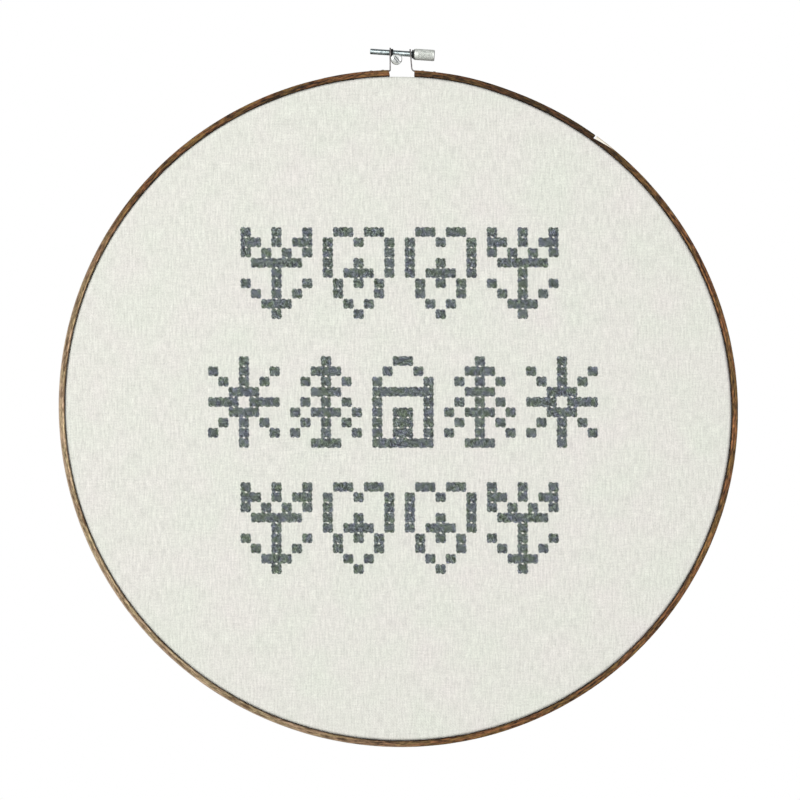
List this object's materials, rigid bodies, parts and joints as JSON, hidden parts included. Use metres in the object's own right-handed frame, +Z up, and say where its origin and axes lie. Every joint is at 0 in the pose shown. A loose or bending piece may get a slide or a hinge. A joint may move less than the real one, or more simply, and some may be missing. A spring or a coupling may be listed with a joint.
{
  "type": "embroidery hoop",
  "caption": "Round wooden embroidery hoop with stretched, cross-stitched linen and a screw closure at the top, hung on a wall screw by the closure's rod.",
  "frame": {"origin": "the hanging screw's axis at the wall plane", "axes": "+Z up the wall, +Y into the wall, so the stitched front faces -Y, and +X to the right as seen from the front"},
  "size_m": [0.4064, 0.045, 0.4198],
  "materials": {
    "stained_wood": "walnut-stained bent beech, satin",
    "plain_wood": "unfinished bent beech",
    "linen": "plain-weave linen and cotton, natural white",
    "grey_yarn": "matte slate grey wool yarn",
    "cotton_thread": "twisted cotton",
    "nickel_plate": "bright nickel plate",
    "threaded_steel": "nickel-plated thread",
    "dark_steel": "blackened steel",
    "zinc_steel": "zinc-plated screw"
  },
  "bodies": {
    "wall_screw": {"hanging_screw": "zinc_steel"},
    "outer_hoop": {"outer_hoop_main_strip": "stained_wood", "outer_hoop_lap_strip": "stained_wood", "left_bracket": "nickel_plate", "right_bracket": "nickel_plate", "left_bracket_nails": "nickel_plate", "right_bracket_nails": "nickel_plate", "clinch_nut": "dark_steel"},
    "inner_hoop_and_cloth": {"inner_hoop": "plain_wood", "cloth_front": "linen", "cloth_side": "linen", "cloth_margin": "linen", "gathering_thread": "cotton_thread", "stitches_top_tulip_left": "grey_yarn", "stitches_top_heart_left": "grey_yarn", "stitches_top_heart_right": "grey_yarn", "stitches_top_tulip_right": "grey_yarn", "stitches_middle_star_left": "grey_yarn", "stitches_middle_fir_left": "grey_yarn", "stitches_middle_house": "grey_yarn", "stitches_middle_fir_right": "grey_yarn", "stitches_middle_star_right": "grey_yarn", "stitches_bottom_tulip_left": "grey_yarn", "stitches_bottom_heart_left": "grey_yarn", "stitches_bottom_heart_right": "grey_yarn", "stitches_bottom_tulip_right": "grey_yarn"},
    "washer": {"clamp_washer": "dark_steel"},
    "thumbscrew": {"clamp_screw": "threaded_steel", "thumb_knob": "nickel_plate"}
  },
  "joints": [
    {"name": "hoop_swing", "type": "hinge", "parent": "wall_screw", "child": "outer_hoop", "pos_m": [0, -0.008, 0], "axis": [0, 1, 0], "range_deg": [-20, 20]},
    {"name": "inner_hoop_release", "type": "slide", "parent": "outer_hoop", "child": "inner_hoop_and_cloth", "axis": [0, -1, 0], "range_m": [0, 0.03]},
    {"name": "washer_travel", "type": "slide", "parent": "outer_hoop", "child": "washer", "axis": [0.9979, 0, -0.0645], "range_m": [0, 0.0072]},
    {"name": "thumbscrew_spin", "type": "hinge", "parent": "washer", "child": "thumbscrew", "pos_m": [0.00024, -0.008, 0.00369], "axis": [0.9979, 0, -0.0645], "range_deg": [0, 4320]}
  ],
  "couplings": [
    {"joint": "thumbscrew_spin", "follows": "washer_travel", "rad_per_m": 10472}
  ]
}
